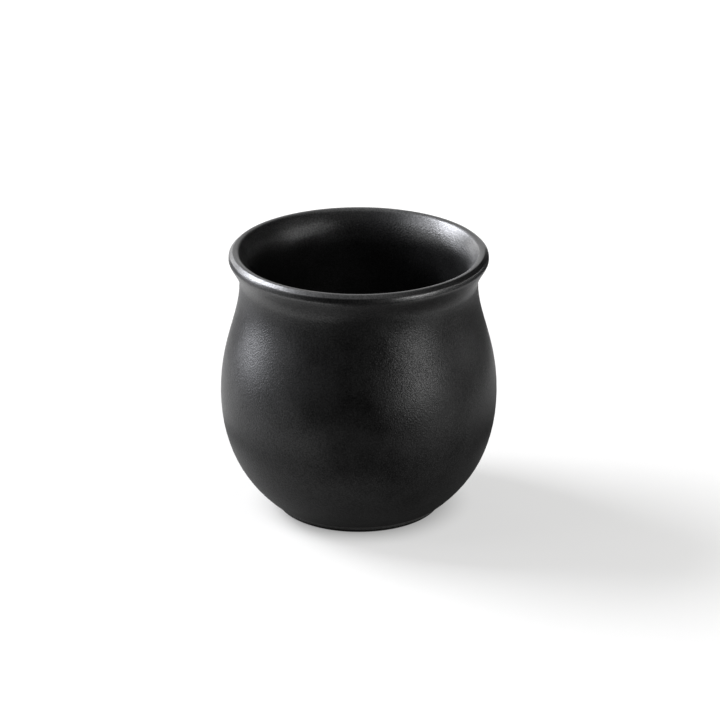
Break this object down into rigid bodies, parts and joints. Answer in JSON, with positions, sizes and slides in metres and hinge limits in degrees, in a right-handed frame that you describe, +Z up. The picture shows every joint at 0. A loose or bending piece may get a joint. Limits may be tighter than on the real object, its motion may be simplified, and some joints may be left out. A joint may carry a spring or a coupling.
{
  "type": "tasting cup",
  "caption": "Small handleless black ceramic cup with a round belly, drawn-in neck and rolled lip, satin-glazed over clay with a bare foot ring, for tasting portions of food or drink.",
  "frame": {"origin": "middle of the foot ring, on the plane that the cup stands on", "axes": "+Z up along the axis that the cup is turned about; X and Y lie in the standing plane and are interchangeable"},
  "size_m": [0.07, 0.07, 0.0684],
  "materials": {
    "clay": "bare black stoneware, dry and matte",
    "liner": "satin black glaze, smooth over the lip",
    "outer": "satin-matte black glaze with a fine grain",
    "underside": "satin-matte black glaze"
  },
  "bodies": {
    "root": {"stoneware_body": "clay", "liner_glaze": "liner", "outer_glaze": "outer", "underside_glaze": "underside"}
  },
  "joints": []
}
